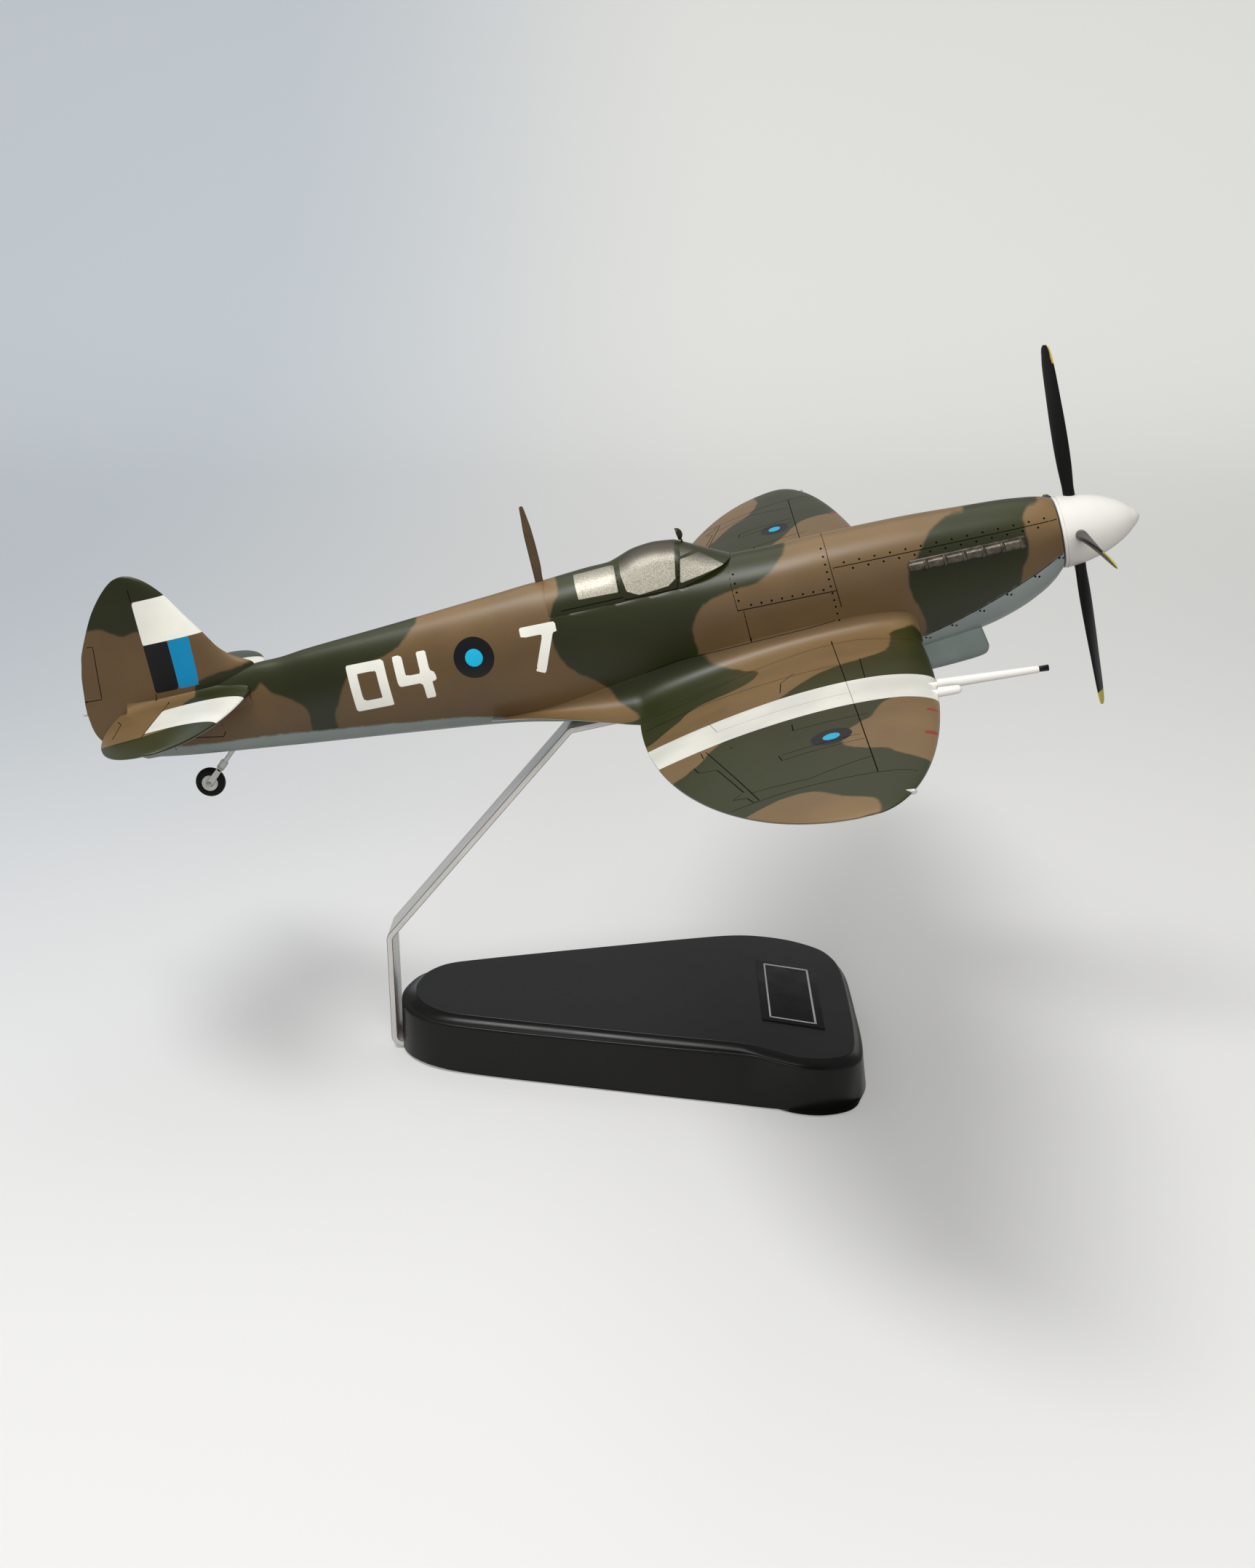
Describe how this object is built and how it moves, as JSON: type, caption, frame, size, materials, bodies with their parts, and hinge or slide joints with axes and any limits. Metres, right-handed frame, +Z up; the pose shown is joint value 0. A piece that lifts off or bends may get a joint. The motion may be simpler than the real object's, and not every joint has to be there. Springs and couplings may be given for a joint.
{
  "type": "display model aircraft on stand",
  "caption": "Painted single-engine fighter aircraft display model that slides onto a bent bar rising from a black wedge-shaped board.",
  "frame": {"origin": "underside of the non-slip sheet below the board, near the middle of the board", "axes": "+X towards the nose, +Y towards the port wing tip, +Z up"},
  "size_m": [0.4751, 0.5604, 0.3305],
  "materials": {
    "board_black": "satin black lacquer",
    "sheet_rubber": "matte",
    "bar_aluminium": "brushed",
    "plain_steel": "plain",
    "plate_dark": "satin",
    "camouflage": "satin camouflage paint",
    "brown_paint": "satin",
    "pane_silver": "frosted silver paint",
    "dark_metal": "satin",
    "exhaust_pewter": "worn pewter",
    "belly_grey": "satin",
    "white_paint": "satin",
    "muzzle_black": "satin",
    "blade_black": "satin black with yellow tips",
    "lamp_red": "gloss",
    "lamp_green": "gloss",
    "leg_grey": "satin",
    "tyre_black": "matte"
  },
  "bodies": {
    "stand": {"base_board": "board_black", "base_sheet": "sheet_rubber", "support_arm": "bar_aluminium", "arm_screws": "plain_steel", "name_plate": "plate_dark"},
    "aircraft": {"fuselage": "camouflage", "tail_unit": "camouflage", "wing_port": "camouflage", "wing_starboard": "camouflage", "tailplane_port": "camouflage", "tailplane_starboard": "camouflage", "wing_dowels": "plain_steel", "tail_dowels": "plain_steel", "windscreen": "pane_silver", "canopy_hood": "pane_silver", "rear_glazing": "pane_silver", "rear_mirror": "dark_metal", "antenna_mast": "brown_paint", "exhaust_port": "exhaust_pewter", "exhaust_starboard": "exhaust_pewter", "air_intake": "belly_grey", "radiator_port": "belly_grey", "radiator_starboard": "belly_grey", "cannon_port": "white_paint", "cannon_starboard": "white_paint", "muzzle_port": "muzzle_black", "muzzle_starboard": "muzzle_black", "stub_port": "white_paint", "stub_starboard": "white_paint", "wing_light_port": "lamp_red", "wing_light_starboard": "lamp_green", "tail_light": "dark_metal", "tail_strut": "leg_grey", "tail_fork": "leg_grey", "wheel_axle": "plain_steel", "prop_bush": "dark_metal"},
    "propeller": {"spinner": "white_paint", "backplate": "white_paint", "prop_shaft": "plain_steel", "blade_1": "blade_black", "blade_2": "blade_black", "blade_3": "blade_black", "blade_4": "blade_black"},
    "tail_wheel": {"wheel_hub": "leg_grey", "wheel_tyre": "tyre_black"}
  },
  "joints": [
    {"name": "aircraft_slide", "type": "slide", "parent": "stand", "child": "aircraft", "axis": [0.9748, 0, 0.2233], "range_m": [0, 0.07]},
    {"name": "propeller_spin", "type": "hinge", "parent": "aircraft", "child": "propeller", "pos_m": [0.19612, 0, 0.25091], "axis": [0.9748, 0, 0.2233], "continuous": true},
    {"name": "tail_wheel_spin", "type": "hinge", "parent": "aircraft", "child": "tail_wheel", "pos_m": [-0.19454, 0, 0.13087], "axis": [0, 1, 0], "continuous": true}
  ]
}
